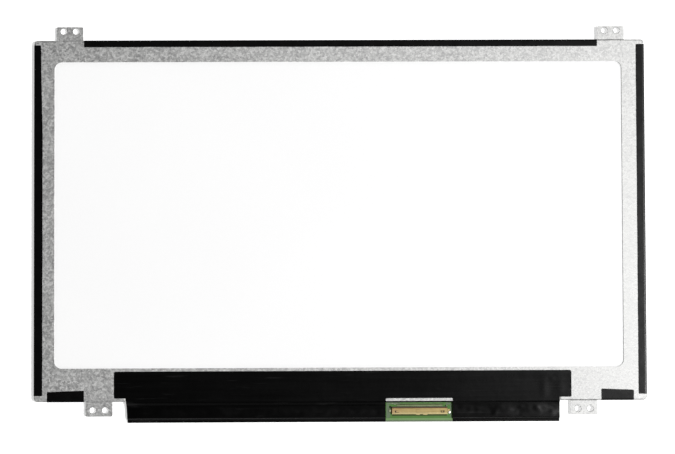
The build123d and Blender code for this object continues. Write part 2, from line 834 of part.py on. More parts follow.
# Edge tapes: each is folded from the back, round the edge and onto the front rim
def edge_tape(name, start, run, inward, length, width, narrowing, narrow_end, full_end):
    """Fold one tape along an edge; its back flange narrows towards narrow_end, measured along the run."""
    section_plane = Plane(start, x_dir=inward, z_dir=run)
    flange_plane = Plane(start, x_dir=run, z_dir=(0, 0, 1)).offset(back_face)
    tape_radius = min(fold_radius, lip_edge_radius) - tape_corner_gap
    with BuildPart() as tape:
        with BuildSketch(section_plane):
            bent_strip(
                [(width, back_face), (0, back_face), (0, lip_front), (tape_front_width, lip_front)],
                tape_radius,
                tape_thickness,
                Side.RIGHT,
            )
        extrude(amount=length)
        if narrowing:
            with BuildSketch(flange_plane):
                with BuildLine():
                    Polyline(
                        (narrow_end, width),
                        (narrow_end, width - narrowing),
                        (full_end, width),
                        close=True,
                    )
                make_face()
            extrude(amount=tape_thickness, mode=Mode.SUBTRACT)
    save(tape, name)


side_tape_length = outline_height - side_tape_top_gap - side_tape_bottom_gap
top_tape_length = outline_width - top_tape_left_inset - top_tape_right_inset
edge_tape(
    "left_side_tape",
    (left_edge, top_edge - side_tape_top_gap, 0),
    (0, -1, 0),
    (1, 0, 0),
    side_tape_length,
    side_tape_width,
    side_tape_narrowing,
    0,
    side_tape_narrowing_length,
)
edge_tape(
    "right_side_tape",
    (right_edge, bottom_edge + side_tape_bottom_gap, 0),
    (0, 1, 0),
    (-1, 0, 0),
    side_tape_length,
    side_tape_width,
    0,
    0,
    0,
)
edge_tape(
    "top_edge_tape",
    (right_edge - top_tape_right_inset, top_edge, 0),
    (-1, 0, 0),
    (0, -1, 0),
    top_tape_length,
    top_tape_width,
    0,
    0,
    0,
)
edge_tape(
    "bottom_left_tape",
    (left_edge + corner_tape_inset, bottom_edge, 0),
    (1, 0, 0),
    (0, 1, 0),
    left_corner_tape_length,
    corner_tape_width,
    corner_tape_narrowing,
    0,
    left_corner_tape_length,
)
edge_tape(
    "bottom_right_tape",
    (right_edge - corner_tape_inset - right_corner_tape_length, bottom_edge, 0),
    (1, 0, 0),
    (0, 1, 0),
    right_corner_tape_length,
    corner_tape_width,
    corner_tape_narrowing,
    right_corner_tape_length,
    0,
)
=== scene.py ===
"""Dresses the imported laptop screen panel: finishes on its CAD pieces, and board copper, film and tapes."""

import math

import bmesh
import bpy
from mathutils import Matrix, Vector, noise


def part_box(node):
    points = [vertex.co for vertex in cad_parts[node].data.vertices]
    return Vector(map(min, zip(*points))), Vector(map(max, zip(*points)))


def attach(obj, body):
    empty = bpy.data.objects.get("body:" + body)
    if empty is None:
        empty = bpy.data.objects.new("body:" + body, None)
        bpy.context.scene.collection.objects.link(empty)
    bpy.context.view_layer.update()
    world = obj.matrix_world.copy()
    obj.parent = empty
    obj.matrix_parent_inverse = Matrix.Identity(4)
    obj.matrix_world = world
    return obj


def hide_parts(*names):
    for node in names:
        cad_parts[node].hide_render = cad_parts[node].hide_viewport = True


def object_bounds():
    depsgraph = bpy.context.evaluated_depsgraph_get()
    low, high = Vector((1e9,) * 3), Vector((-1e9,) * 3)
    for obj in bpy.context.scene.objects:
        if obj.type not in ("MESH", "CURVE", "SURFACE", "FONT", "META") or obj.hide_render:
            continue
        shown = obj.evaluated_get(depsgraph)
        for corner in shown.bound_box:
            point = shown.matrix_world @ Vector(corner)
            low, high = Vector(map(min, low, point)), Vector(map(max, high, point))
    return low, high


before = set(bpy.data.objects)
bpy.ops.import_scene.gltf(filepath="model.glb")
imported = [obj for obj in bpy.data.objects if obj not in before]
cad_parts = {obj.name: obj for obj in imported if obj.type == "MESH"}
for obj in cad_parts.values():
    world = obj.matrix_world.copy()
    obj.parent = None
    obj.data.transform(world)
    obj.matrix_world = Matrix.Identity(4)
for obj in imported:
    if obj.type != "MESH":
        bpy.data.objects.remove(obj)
cad_low, cad_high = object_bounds()


# Back frame: a tray of 0.4 mm zinc-coated sheet steel, blanked, folded up all round and lanced for four tabs.
# The zinc froze in fine crystals, so the grey is mottled and each crystal shines a little differently.
# It snaps over the moulded frame, and its tabs take the screws of the laptop's lid.
MM = 0.001


def tint(red, green, blue):
    """Turn screen values from 0 to 255 into the linear colour that a shader takes."""
    return tuple(
        ((v / 255 + 0.055) / 1.055) ** 2.4 if v > 10 else v / 255 / 12.92
        for v in (red, green, blue)
    )


def add(tree, kind, inputs=None, **options):
    """Add a shader node, set its options, and feed its inputs with values or with other nodes' outputs."""
    node = tree.nodes.new("ShaderNode" + kind)
    for option, value in options.items():
        setattr(node, option, value)
    feed(tree, node, inputs or {})
    return node


def feed(tree, node, inputs):
    """Link or set the inputs of a node, given by name or by number."""
    for key, value in inputs.items():
        if isinstance(value, bpy.types.NodeSocket):
            tree.links.new(value, node.inputs[key])
        else:
            node.inputs[key].default_value = value


def spread(tree, value, low, high, start=0.3, end=0.7):
    """Stretch a value that wanders between start and end to the range from low to high."""
    limits = {"From Min": start, "From Max": end, "To Min": low, "To Max": high}
    return add(tree, "MapRange", {"Value": value, **limits}).outputs["Result"]


def ramp(tree, value, *stops):
    """Colour a value by stops, each a position with a linear colour."""
    node = add(tree, "ValToRGB", {"Fac": value})
    elements = node.color_ramp.elements
    while len(elements) < len(stops):
        elements.new(0.5)
    for element, (position, colour) in zip(elements, stops):
        element.position = position
        element.color = (*colour, 1.0)
    return node.outputs["Color"]


def weigh(tree, *shares):
    """Add up values, each with its weight."""
    total = 0.0
    for value, weight in shares:
        total = add(tree, "Math", {0: value, 1: weight, 2: total}, operation="MULTIPLY_ADD").outputs[0]
    return total


def make_grain():
    """Build the shared grain of a surface: soft blotches, fine flecks and the gloss that goes with them."""
    tree = bpy.data.node_groups.new("surface_grain", "ShaderNodeTree")
    for name in ("Blotches", "Flecks"):
        tree.interface.new_socket(name, in_out="INPUT", socket_type="NodeSocketFloat")
    for name in ("Tone", "Gloss", "Height"):
        tree.interface.new_socket(name, in_out="OUTPUT", socket_type="NodeSocketFloat")
    entry = tree.nodes.new("NodeGroupInput")
    leave = tree.nodes.new("NodeGroupOutput")
    place = add(tree, "TexCoord").outputs["Object"]
    aside = add(tree, "VectorMath", {0: place, 1: (0.37, 0.11, 0.23)}, operation="ADD").outputs[0]
    blotches = add(tree, "TexNoise", {"Vector": place, "Scale": entry.outputs["Blotches"], "Detail": 3.0})
    flecks = add(tree, "TexNoise", {"Vector": place, "Scale": entry.outputs["Flecks"], "Detail": 2.0})
    smears = add(tree, "TexNoise", {"Vector": aside, "Scale": entry.outputs["Blotches"], "Detail": 4.0})
    feed(tree, leave, {
        "Tone": weigh(tree, (blotches.outputs["Fac"], 0.55), (flecks.outputs["Fac"], 0.45)),
        "Gloss": weigh(tree, (smears.outputs["Fac"], 0.75), (flecks.outputs["Fac"], 0.25)),
        "Height": flecks.outputs["Fac"],
    })
    return tree


surface_grain = make_grain()


def start_finish(name, blotches, flecks, **even):
    """Start a finish: a Principled shader with its even values, and the surface grain at its own scale."""
    finish = bpy.data.materials.new(name)
    finish.use_nodes = True
    tree = finish.node_tree
    shader = tree.nodes["Principled BSDF"]
    feed(tree, shader, {key.replace("_", " "): value for key, value in even.items()})
    grain = add(tree, "Group", node_tree=surface_grain)
    feed(tree, grain, {"Blotches": blotches, "Flecks": flecks})
    return finish, tree, shader, grain


def relief(tree, height, depth):
    """Turn a height from 0 to 1 into a surface relief this deep, in millimetres."""
    bump = add(tree, "Bump", {"Height": height, "Distance": depth * MM, "Strength": 1.0})
    return bump.outputs["Normal"]


def dress(finish, *names):
    """Give CAD nodes a finish."""
    for name in names:
        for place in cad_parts[name].material_slots:
            place.material = finish


steel, tree, shader, grain = start_finish("zinc_coated_steel", blotches=90.0, flecks=2600.0, Metallic=1.0)
place = add(tree, "TexCoord").outputs["Object"]
wander = add(tree, "TexNoise", {"Vector": place, "Scale": 1500.0, "Detail": 2.0}).outputs["Color"]
crystal_wander = (0.6 * MM,) * 3
bent = add(tree, "VectorMath", {0: wander, 1: crystal_wander, 2: place}, operation="MULTIPLY_ADD")
crystal_place = bent.outputs[0]
crystals = add(tree, "TexVoronoi", {"Vector": crystal_place, "Scale": 1250.0}).outputs["Color"]
small_crystals = add(tree, "TexVoronoi", {"Vector": crystal_place, "Scale": 2700.0}).outputs["Color"]
crystal = add(tree, "SeparateColor", {"Color": crystals}).outputs
small_crystal = add(tree, "SeparateColor", {"Color": small_crystals}).outputs
mottle = weigh(tree, (crystal["Red"], 0.42), (small_crystal["Red"], 0.33), (grain.outputs["Tone"], 0.25))
dull_zinc, plain_zinc, bright_zinc = tint(147, 147, 147), tint(177, 177, 176), tint(209, 209, 208)
feed(tree, shader, {
    "Base Color": ramp(tree, mottle, (0.2, dull_zinc), (0.5, plain_zinc), (0.8, bright_zinc)),
    "Roughness": spread(tree, mottle, 0.465, 0.645, 0.2, 0.8),
    "Normal": relief(tree, grain.outputs["Height"], 0.004),
})
dress(steel, "back_frame")


def new_piece(name, bm, finish, crease=20.0):
    """Turn a mesh in work into a piece that rides on the panel, smooth but for its creases."""
    for face in bm.faces:
        face.smooth = True
    for edge in bm.edges:
        edge.smooth = edge.calc_face_angle(0.0) < math.radians(crease)
    mesh = bpy.data.meshes.new(name)
    bm.to_mesh(mesh)
    bm.free()
    mesh.materials.append(finish)
    piece = bpy.data.objects.new(name, mesh)
    bpy.context.scene.collection.objects.link(piece)
    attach(piece, "root")
    return piece


def turn_ring(bm, x, y, profile, steps=48):
    """Turn a closed ring about the upright line through x, y; the profile holds radii and heights."""
    rings = []
    for step in range(steps):
        angle = 2 * math.pi * step / steps
        across, along = math.cos(angle), math.sin(angle)
        points = [(x + r * across, y + r * along, z) for r, z in profile]
        rings.append([bm.verts.new((px * MM, py * MM, pz * MM)) for px, py, pz in points])
    for step in range(steps):
        here, there = rings[step], rings[(step + 1) % steps]
        for number in range(len(profile)):
            after = (number + 1) % len(profile)
            bm.faces.new((here[number], there[number], there[after], here[after]))


tab_under, tab_back = 1.78, 2.18
half_hole_spacing = 2.7
top_holes, bottom_holes = 81.7, -84.5
tab_middles = [(-118.5, top_holes), (119.5, top_holes), (-105.65, bottom_holes), (106.6, bottom_holes)]
hole_places = [(x + side * half_hole_spacing, y) for x, y in tab_middles for side in (-1, 1)]
rolled_rim = [
    (1.62, tab_back + 0.002), (1.48, tab_back + 0.012), (1.38, tab_back - 0.04), (1.335, tab_back - 0.16),
    (1.335, tab_under + 0.1), (1.37, tab_under), (1.5, tab_under - 0.008), (1.62, tab_under - 0.002),
]
rims = bmesh.new()
for hole_x, hole_y in hole_places:
    turn_ring(rims, hole_x, hole_y, rolled_rim)
new_piece("punched_hole_rims", rims, steel, 50.0)


# Moulded frame: a white polycarbonate rim, injection moulded, that holds the glass and the light sheets.
# Its mould was lightly spark-eroded, so the faces are satin, and it snaps into windows of the steel.
moulding, tree, shader, grain = start_finish("white_moulding", blotches=55.0, flecks=3200.0, IOR=1.58)
feed(tree, shader, {
    "Base Color": ramp(tree, grain.outputs["Tone"], (0.3, tint(222, 221, 216)), (0.7, tint(232, 231, 228))),
    "Roughness": spread(tree, grain.outputs["Gloss"], 0.40, 0.52),
    "Normal": relief(tree, grain.outputs["Height"], 0.012),
})
dress(moulding, "moulded_frame")


# Reflector: a white voided polyester film behind the light guide, seen through the steel's window.
# It is die-cut and lies loose, so it is very even, with a soft sheen and the faintest waviness.
reflector, tree, shader, grain = start_finish("reflector_film", blotches=14.0, flecks=1800.0, IOR=1.5)
feed(tree, shader, {
    "Base Color": ramp(tree, grain.outputs["Tone"], (0.3, tint(249, 249, 249)), (0.7, tint(252, 252, 252))),
    "Roughness": spread(tree, grain.outputs["Gloss"], 0.52, 0.62),
    "Normal": relief(tree, grain.outputs["Height"], 0.002),
})
dress(reflector, "reflector_sheet")


# Light guide and the four sheets in front of it: clear acrylic, and thin milky or finely ribbed polyester.
# They are stacked loose in the moulded frame, held by their ears, and only their edges could ever be seen.
acrylic, tree, shader, grain = start_finish(
    "clear_acrylic", blotches=20.0, flecks=900.0, Transmission_Weight=1.0, IOR=1.49)
feed(tree, shader, {
    "Base Color": ramp(tree, grain.outputs["Tone"], (0.3, tint(238, 244, 240)), (0.7, tint(248, 250, 249))),
    "Roughness": spread(tree, grain.outputs["Gloss"], 0.06, 0.16),
})
dress(acrylic, "light_guide_plate")

milky_film, tree, shader, grain = start_finish(
    "milky_sheet", blotches=30.0, flecks=2400.0, Transmission_Weight=0.6, IOR=1.57)
place = add(tree, "TexCoord").outputs["Object"]
ribs = add(tree, "TexWave", {"Vector": place, "Scale": 3200.0}, bands_direction="Y")
feed(tree, shader, {
    "Base Color": ramp(tree, grain.outputs["Tone"], (0.3, tint(228, 229, 230)), (0.7, tint(240, 241, 241))),
    "Roughness": spread(tree, grain.outputs["Gloss"], 0.35, 0.5),
    "Normal": relief(tree, ribs.outputs["Fac"], 0.02),
})
dress(milky_film, "lower_diffuser_sheet", "lower_prism_sheet", "upper_prism_sheet", "upper_diffuser_sheet")


# LED strip: white packages soldered to an amber flexible circuit whose tail bends down to the board.
# The strip is stuck along the light guide's bottom edge, behind the steel.
flex, tree, shader, grain = start_finish("amber_flex_circuit", blotches=120.0, flecks=3000.0, IOR=1.65)
feed(tree, shader, {
    "Base Color": ramp(tree, grain.outputs["Tone"], (0.3, tint(148, 86, 28)), (0.7, tint(176, 110, 40))),
    "Roughness": spread(tree, grain.outputs["Gloss"], 0.28, 0.42),
    "Normal": relief(tree, grain.outputs["Height"], 0.006),
})
dress(flex, "led_flex_strip")
dress(moulding, "led_packages")


# Glass cell: two thin panes with the liquid crystal between them, and a polariser laminated on each face.
# The cut edges are greenish and ground; the front polariser has a fine anti-glare haze over black.
glass, tree, shader, grain = start_finish(
    "cell_glass", blotches=40.0, flecks=2600.0, Transmission_Weight=0.85, IOR=1.52)
feed(tree, shader, {
    "Base Color": ramp(tree, grain.outputs["Tone"], (0.3, tint(176, 200, 188)), (0.7, tint(204, 222, 212))),
    "Roughness": spread(tree, grain.outputs["Gloss"], 0.12, 0.3),
    "Normal": relief(tree, grain.outputs["Height"], 0.004),
})
dress(glass, "colour_filter_glass", "tft_glass")

polariser, tree, shader, grain = start_finish("dark_polariser", blotches=26.0, flecks=5200.0, IOR=1.49)
feed(tree, shader, {
    "Base Color": ramp(tree, grain.outputs["Tone"], (0.3, tint(14, 14, 17)), (0.7, tint(21, 21, 25))),
    "Roughness": spread(tree, grain.outputs["Gloss"], 0.24, 0.32),
    "Normal": relief(tree, grain.outputs["Height"], 0.003),
})
dress(polariser, "front_polariser", "rear_polariser")

black_tape, tree, shader, grain = start_finish(
    "black_polyester_tape", blotches=240.0, flecks=4200.0, IOR=1.5, Specular_IOR_Level=0.18)
feed(tree, shader, {
    "Base Color": ramp(tree, grain.outputs["Tone"], (0.3, tint(2, 2, 2)), (0.7, tint(6, 6, 6))),
    "Roughness": spread(tree, grain.outputs["Gloss"], 0.24, 0.30),
    "Normal": relief(tree, grain.outputs["Height"], 0.006),
})
dress(black_tape, "rim_tape")


# Driver board: a narrow four-layer glass-fibre board under green solder mask, routed to shape.
# Copper shows through the mask as paler green: a ground strip by the bottom edge and the socket's fan-out.
# Bare pads are tinned, and it hangs on the driver films below the steel.
def lay_block(bm, low, high, edge):
    """Add a block between two corners, in millimetres, with its edges rounded off."""
    low, high = Vector(low) * MM, Vector(high) * MM
    verts = bmesh.ops.create_cube(bm, size=1.0)["verts"]
    bmesh.ops.scale(bm, vec=high - low, verts=verts)
    bmesh.ops.translate(bm, vec=(low + high) / 2, verts=verts)
    edges = list({e for v in verts for e in v.link_edges})
    bmesh.ops.bevel(bm, geom=edges, offset=edge * MM, segments=2, profile=0.5, affect="EDGES")


def blend(tree, share, first, second):
    """Mix two colours: a share of 0 gives the first and 1 the second."""
    return add(tree, "Mix", {0: share, 6: first, 7: second}, data_type="RGBA").outputs[2]


def green_mask(name, dark, light, bare=None):
    """Make a solder-mask finish: satin green over a faint glass weave, bare below a line if one is given."""
    finish, tree, shader, grain = start_finish(
        name, blotches=160.0, flecks=2800.0, IOR=1.55, Specular_IOR_Level=0.2, Coat_Roughness=0.25)
    place = add(tree, "TexCoord").outputs["Object"]
    warp = add(tree, "TexWave", {"Vector": place, "Scale": 900.0, "Distortion": 2.5}, bands_direction="X")
    weft = add(tree, "TexWave", {"Vector": place, "Scale": 900.0, "Distortion": 2.5}, bands_direction="Y")
    threads = ((warp.outputs["Fac"], 0.12), (weft.outputs["Fac"], 0.12))
    cloth = weigh(tree, *threads, (grain.outputs["Tone"], 0.76))
    colour = ramp(tree, cloth, (0.3, dark), (0.7, light))
    if bare:
        edge, (worn, pale) = bare
        height = add(tree, "SeparateXYZ", {"Vector": place}).outputs["Y"]
        margin = spread(tree, height, 1.0, 0.0, (edge - 0.1) * MM, (edge + 0.1) * MM)
        laminate = ramp(tree, cloth, (0.3, worn), (0.7, pale))
        colour = blend(tree, margin, colour, laminate)
    feed(tree, shader, {
        "Base Color": colour,
        "Roughness": spread(tree, grain.outputs["Gloss"], 0.32, 0.46),
        "Coat Weight": spread(tree, grain.outputs["Gloss"], 0.35, 0.15),
        "Normal": relief(tree, cloth, 0.01),
    })
    return finish


bare_edge = (-89.35, (tint(93, 107, 84), tint(109, 122, 100)))
board_mask = green_mask("green_solder_mask", tint(69, 113, 44), tint(83, 129, 58), bare_edge)
copper_mask = green_mask("green_mask_over_copper", tint(104, 138, 84), tint(120, 152, 100))
# Painted shade: a dark olive copy of the mask, laid where shade falls behind the pads and in front of the
# socket's mouth.
shaded_mask = green_mask("green_mask_painted_shade", tint(40, 60, 8), tint(54, 76, 18))
greyed_mask = green_mask("green_mask_over_ground", tint(80, 100, 74), tint(114, 132, 104))
dress(board_mask, "driver_board")

# Painted highlight: this tin is brightened past bare solder, standing in for the glint on the right foot's
# mound.
tin, tree, shader, grain = start_finish("solder_painted_highlight", blotches=300.0, flecks=5200.0, Metallic=1.0)
feed(tree, shader, {
    "Base Color": ramp(tree, grain.outputs["Tone"], (0.3, tint(232, 232, 222)), (0.7, tint(246, 247, 240))),
    "Roughness": spread(tree, grain.outputs["Gloss"], 0.42, 0.55),
    "Normal": relief(tree, grain.outputs["Height"], 0.008),
})

dull_tin, tree, shader, grain = start_finish(
    "dull_tinned_pad", blotches=300.0, flecks=5200.0, Metallic=1.0)
feed(tree, shader, {
    "Base Color": ramp(tree, grain.outputs["Tone"], (0.3, tint(126, 132, 108)), (0.7, tint(156, 162, 136))),
    "Roughness": spread(tree, grain.outputs["Gloss"], 0.5, 0.62),
    "Normal": relief(tree, grain.outputs["Height"], 0.006),
})

board_low, board_high = (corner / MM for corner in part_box("driver_board"))
board_face = board_high.z
socket_low, socket_high = (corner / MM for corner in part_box("connector_shell"))
socket_middle = (socket_low.x + socket_high.x) / 2
contact_count, contact_pitch = 40, 0.5
first_contact = socket_middle - (contact_count - 1) * contact_pitch / 2
contact_places = [first_contact + number * contact_pitch for number in range(contact_count)]
tail_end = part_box("connector_contacts")[1].y / MM

copper_rise, copper_sunk, copper_edge = 0.025, 0.02, 0.012
copper_top, copper_foot = board_face + copper_rise, board_face - copper_sunk
strip_bottom, strip_top = board_low.y + 0.75, board_low.y + 1.6
track_bottom, track_top, half_track = tail_end + 0.46, board_high.y - 0.3, 0.09
copper = bmesh.new()
strip_corner = (board_high.x - 1, strip_top, copper_top)
lay_block(copper, (board_low.x + 1, strip_bottom, copper_foot), strip_corner, copper_edge)
for track_x in contact_places:
    track_corner = (track_x + half_track, track_top, copper_top)
    lay_block(copper, (track_x - half_track, track_bottom, copper_foot), track_corner, copper_edge)
new_piece("masked_copper", copper, copper_mask)

# Painted shade: a dark strip of mask between the pads and the fan-out, standing in for the shade there.
painted_shade_top, painted_shade_edge = board_face + 0.012, 0.01
pad_row_shade = bmesh.new()
pad_row_shade_corner = (socket_high.x - 2.9, tail_end + 0.44, painted_shade_top)
lay_block(pad_row_shade, (first_contact - 0.5, tail_end + 0.02, copper_foot), pad_row_shade_corner, painted_shade_edge)
new_piece("painted_shade_behind_pads", pad_row_shade, shaded_mask)

ground_strips = [
    ((20.0, -88.3), (21.1, -82.5)), ((21.15, -88.3), (21.65, -83.8)), ((47.95, -88.3), (48.6, -82.0)),
    ((20.1, -82.42), (26.0, -81.62)), ((46.0, -82.6), (47.9, -81.75)),
]
ground = bmesh.new()
for strip_low, strip_high in ground_strips:
    lay_block(ground, (*strip_low, copper_foot), (*strip_high, copper_top), copper_edge)
new_piece("ground_copper", ground, greyed_mask)

half_pad, pad_length, pad_top, pad_edge = 0.17, 0.5, board_face + 0.04, 0.015
pads = bmesh.new()
for pad_x in contact_places:
    pad_corner = (pad_x + half_pad, tail_end, pad_top)
    lay_block(pads, (pad_x - half_pad, tail_end - pad_length, copper_foot), pad_corner, pad_edge)
test_pad = [(0.02, 0.02), (0.22, 0.02), (0.27, -0.01), (0.27, -0.02), (0.02, -0.02)]
test_pad_places = [(22.6, -82.0), (23.7, -82.5), (24.6, -82.1), (46.4, -82.9)]
for pad_x, pad_y in test_pad_places:
    turn_ring(pads, pad_x, pad_y, [(r, copper_top + z) for r, z in test_pad], 28)
new_piece("tinned_pads", pads, dull_tin)


def slump(bm, low, high, steps=28, rings=6):
    """Add a slumped mound of solder that fills the box between two corners, square with rounded corners."""
    (x0, y0, z0), (x1, y1, z1) = low, high
    squareness, lumpiness = 0.55, 0.18
    loops = []
    for ring in range(rings):
        climb = ring / rings * math.pi / 2
        size = math.cos(climb) ** squareness
        loop = []
        for step in range(steps):
            angle = 2 * math.pi * step / steps
            across = math.copysign(abs(math.cos(angle)) ** squareness, math.cos(angle)) * size
            along = math.copysign(abs(math.sin(angle)) ** squareness, math.sin(angle)) * size
            x = (x0 + x1) / 2 + across * (x1 - x0) / 2
            y = (y0 + y1) / 2 + along * (y1 - y0) / 2
            lump = 1 + lumpiness * noise.noise(Vector((x * 1.7, y * 1.7, 3.1)))
            z = z0 + (z1 - z0) * math.sin(climb) * lump
            loop.append(bm.verts.new((x * MM, y * MM, z * MM)))
        loops.append(loop)
    for lower, upper in zip(loops, loops[1:]):
        for step in range(steps):
            after = (step + 1) % steps
            bm.faces.new((lower[step], lower[after], upper[after], upper[step]))
    bm.faces.new(loops[-1])
    bm.faces.new(list(reversed(loops[0])))


# Painted light: the right foot's mound takes the brightened tin as painted highlight, and the left foot's
# takes the dull pad tin as painted shade.
solder_foot = board_face - 0.01
solder = bmesh.new()
slump(solder, (46.95, -86.65, solder_foot), (48.25, -85.3, board_face + 0.34))
new_piece("foot_solder_painted_highlight", solder, tin, 60.0)
solder = bmesh.new()
slump(solder, (20.9, -86.0, solder_foot), (21.95, -84.4, board_face + 0.24))
new_piece("foot_solder_painted_shade", solder, dull_tin, 60.0)


# Driver films: amber flexible circuits, bonded to the glass and to the board, each with a bare silicon chip.
# The chip is a long sliver of polished black silicon, flip-bonded face down.
dress(flex, "source_driver_film_left", "source_driver_film_middle", "source_driver_film_right")
silicon, tree, shader, grain = start_finish("bare_silicon", blotches=200.0, flecks=4000.0, Metallic=0.6)
feed(tree, shader, {
    "Base Color": ramp(tree, grain.outputs["Tone"], (0.3, tint(58, 60, 68)), (0.7, tint(76, 78, 88))),
    "Roughness": spread(tree, grain.outputs["Gloss"], 0.16, 0.28),
})
dress(silicon, "source_driver_chip_left", "source_driver_chip_middle", "source_driver_chip_right")


# Display socket: a dark plastic housing with forty plated contacts, under a gold-plated shell.
# The shell is copper alloy, stamped and folded, with a rolled mouth, a raised latch plate and end ribs.
# A foot at each end is soldered to the board, and two pegs of the housing show behind the shell.
gold, tree, shader, grain = start_finish("gold_plate", blotches=260.0, flecks=3600.0, Metallic=1.0)
place = add(tree, "TexCoord").outputs["Object"]
rolled = add(tree, "Mapping", {"Vector": place, "Scale": (60.0, 2400.0, 600.0)}).outputs["Vector"]
rolling = add(tree, "TexNoise", {"Vector": rolled, "Scale": 1.0, "Detail": 3.0}).outputs["Fac"]
plating = weigh(tree, (rolling, 0.5), (grain.outputs["Tone"], 0.5))
across = add(tree, "SeparateXYZ", {"Vector": place}).outputs
worn_from, worn_to = 23.2, 27.5
back_bend_from, back_bend_to = -84.2, -83.95
left_end_from, left_end_to = 22.3, 22.42
mouth_from, mouth_to = -86.0, -85.7
worn = spread(tree, across["X"], 0.45, 0.0, worn_from * MM, worn_to * MM)
# Painted shade: the shell's back bend is darkened to dark brown, standing in for the shade along its back
# edge.
painted_back_shade = spread(tree, across["Y"], 0.0, 0.95, back_bend_from * MM, back_bend_to * MM)
# Painted shadow: the shell's left end is darkened almost to black, standing in for the shadow the shell casts
# to its left.
painted_left_shadow = spread(tree, across["X"], 0.9, 0.0, left_end_from * MM, left_end_to * MM)
# Painted highlight: the band along the rolled mouth is lightened, standing in for the sheen where the mouth
# catches the light.
painted_mouth_sheen = spread(tree, across["Y"], 0.55, 0.0, mouth_from * MM, mouth_to * MM)
dents = add(tree, "TexNoise", {"Vector": place, "Scale": 420.0, "Detail": 1.0}).outputs["Fac"]
fresh = ramp(tree, plating, (0.3, tint(129, 112, 72)), (0.7, tint(160, 143, 100)))
copper_red = ramp(tree, plating, (0.3, tint(138, 105, 76)), (0.7, tint(168, 136, 105)))
worn_colour_with_painted_sheen = blend(tree, painted_mouth_sheen, blend(tree, worn, fresh, copper_red), (*tint(178, 166, 124), 1.0))
shell_colour_with_painted_light = blend(tree, painted_back_shade, worn_colour_with_painted_sheen, (*tint(66, 48, 28), 1.0))
feed(tree, shader, {
    "Base Color": blend(tree, painted_left_shadow, shell_colour_with_painted_light, (*tint(30, 24, 10), 1.0)),
    "Roughness": spread(tree, plating, 0.42, 0.54),
    "Normal": relief(tree, weigh(tree, (dents, 0.85), (rolling, 0.15)), 0.045),
})
dress(gold, "connector_shell")

# The contact tails are tin plated; their colour is darkened past bare tin as painted shade for the row behind
# the shell.
contact_plate_painted_shade, tree, shader, grain = start_finish(
    "contact_plate_painted_shade", blotches=300.0, flecks=3600.0, Metallic=1.0)
feed(tree, shader, {
    "Base Color": ramp(tree, grain.outputs["Tone"], (0.3, tint(112, 114, 90)), (0.7, tint(142, 144, 116))),
    "Roughness": spread(tree, grain.outputs["Gloss"], 0.46, 0.58),
    "Normal": relief(tree, grain.outputs["Height"], 0.004),
})
dress(contact_plate_painted_shade, "connector_contacts")

socket_plastic, tree, shader, grain = start_finish(
    "socket_plastic", blotches=140.0, flecks=3600.0, IOR=1.6)
feed(tree, shader, {
    "Base Color": ramp(tree, grain.outputs["Tone"], (0.3, tint(36, 29, 20)), (0.7, tint(50, 41, 29))),
    "Roughness": spread(tree, grain.outputs["Gloss"], 0.4, 0.52),
    "Normal": relief(tree, grain.outputs["Height"], 0.008),
})
dress(socket_plastic, "connector_housing")

shell_face = socket_high.z
shell_ribs = [
    ((22.35, -86.68), (46.65, -86.05), 0.06, 0.05), ((32.9, -86.0), (38.1, -84.55), 0.08, 0.07),
    ((33.6, -86.66), (37.4, -86.2), 0.1, 0.04), ((22.7, -86.0), (23.3, -84.2), 0.07, 0.06),
    ((45.6, -85.95), (45.95, -84.5), 0.06, 0.05), ((46.25, -86.0), (46.6, -84.1), 0.06, 0.05),
]
spring_fingers = [((24.15, -85.85), (25.45, -85.15)), ((44.05, -85.85), (44.75, -85.15))]
rib_foot, finger_foot, finger_edge = shell_face - 0.04, shell_face - 0.2, 0.03
stamped = bmesh.new()
for rib_low, rib_high, rise, edge in shell_ribs:
    lay_block(stamped, (*rib_low, rib_foot), (*rib_high, shell_face + rise), edge)
for finger_low, finger_high in spring_fingers:
    lay_block(stamped, (*finger_low, finger_foot), (*finger_high, rib_foot), finger_edge)
new_piece("stamped_shell_ribs", stamped, gold)

nib_ends = [(32.9, 34.6), (35.95, 37.9)]
nib_front, nib_back, nib_edge = -86.98, -86.62, 0.05
nib_foot, nib_top = board_face + 0.62, shell_face - 0.06
nibs = bmesh.new()
for nib_left, nib_right in nib_ends:
    lay_block(nibs, (nib_left, nib_front, nib_foot), (nib_right, nib_back, nib_top), nib_edge)
new_piece("mouth_nibs", nibs, gold)

# Painted shade: a dark strip of mask along the socket's mouth, standing in for the shade just in front of it.
mouth_inset, mouth_front, mouth_back = 1.2, -87.5, -86.5
mouth_shade = bmesh.new()
mouth_shade_corner = (socket_high.x - mouth_inset, mouth_back, painted_shade_top)
lay_block(mouth_shade, (socket_low.x + mouth_inset, mouth_front, copper_foot), mouth_shade_corner, painted_shade_edge)
new_piece("painted_shade_under_mouth", mouth_shade, shaded_mask)

# The pegs are housing plastic, coloured near black and darker than the housing, as painted shade for the dark
# spot around them.
peg_plastic_painted_shade, tree, shader, grain = start_finish(
    "peg_plastic_painted_shade", blotches=140.0, flecks=3600.0, IOR=1.6, Specular_IOR_Level=0.2)
feed(tree, shader, {
    "Base Color": ramp(tree, grain.outputs["Tone"], (0.3, tint(9, 8, 6)), (0.7, tint(16, 14, 11))),
    "Roughness": spread(tree, grain.outputs["Gloss"], 0.4, 0.52),
    "Normal": relief(tree, grain.outputs["Height"], 0.008),
})
peg_head = [(0.02, 0.09), (0.28, 0.075), (0.4, 0.02), (0.42, -0.02), (0.02, -0.02)]
peg_places = [(21.6, -83.6, 1.15), (45.95, -83.1, 0.75)]
pegs = bmesh.new()
for peg_x, peg_y, size in peg_places:
    turn_ring(pegs, peg_x, peg_y, [(r * size, board_face + z) for r, z in peg_head], 32)
new_piece("locating_pegs", pegs, peg_plastic_painted_shade, 60.0)


